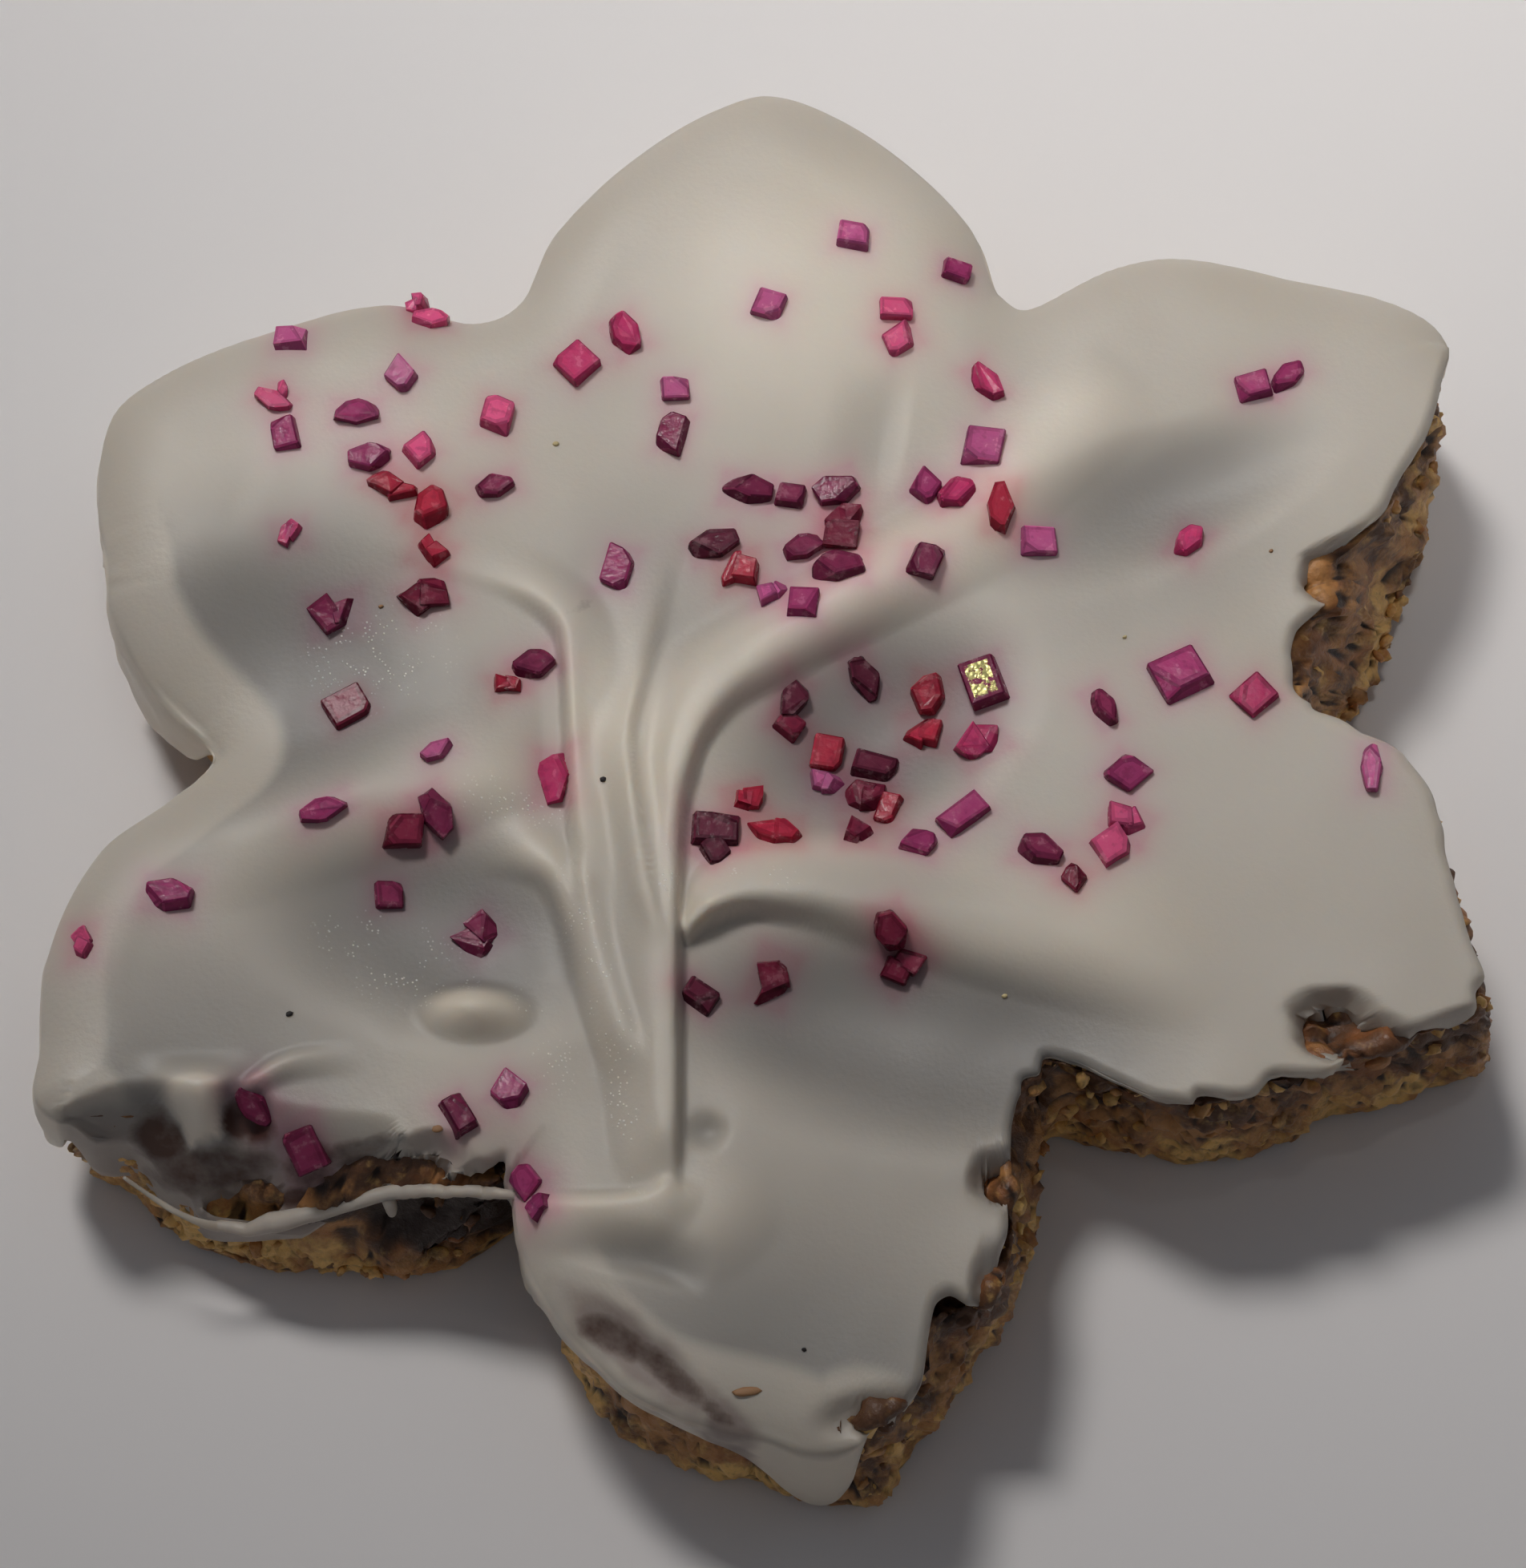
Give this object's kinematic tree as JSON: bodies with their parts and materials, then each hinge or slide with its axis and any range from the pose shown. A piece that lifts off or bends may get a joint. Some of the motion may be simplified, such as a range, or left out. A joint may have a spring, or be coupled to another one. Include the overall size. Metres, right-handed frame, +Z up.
{
  "type": "dog cookie",
  "caption": "Star-shaped dog biscuit of coarse baked crumb under a thick, folded coat of pale yogurt icing strewn with coloured sugar crystals; a small treat that lies flat.",
  "frame": {"origin": "middle of the flat baked base, on the surface that the cookie lies on", "axes": "+Z up through the icing, +Y towards the broad round lobe, +X to its right seen from above"},
  "size_m": [0.0474, 0.0479, 0.0092],
  "materials": {
    "crumb": "matte",
    "icing": "satin",
    "sugar": "gloss"
  },
  "bodies": {
    "root": {"biscuit": "crumb", "icing": "icing"}
  },
  "joints": []
}
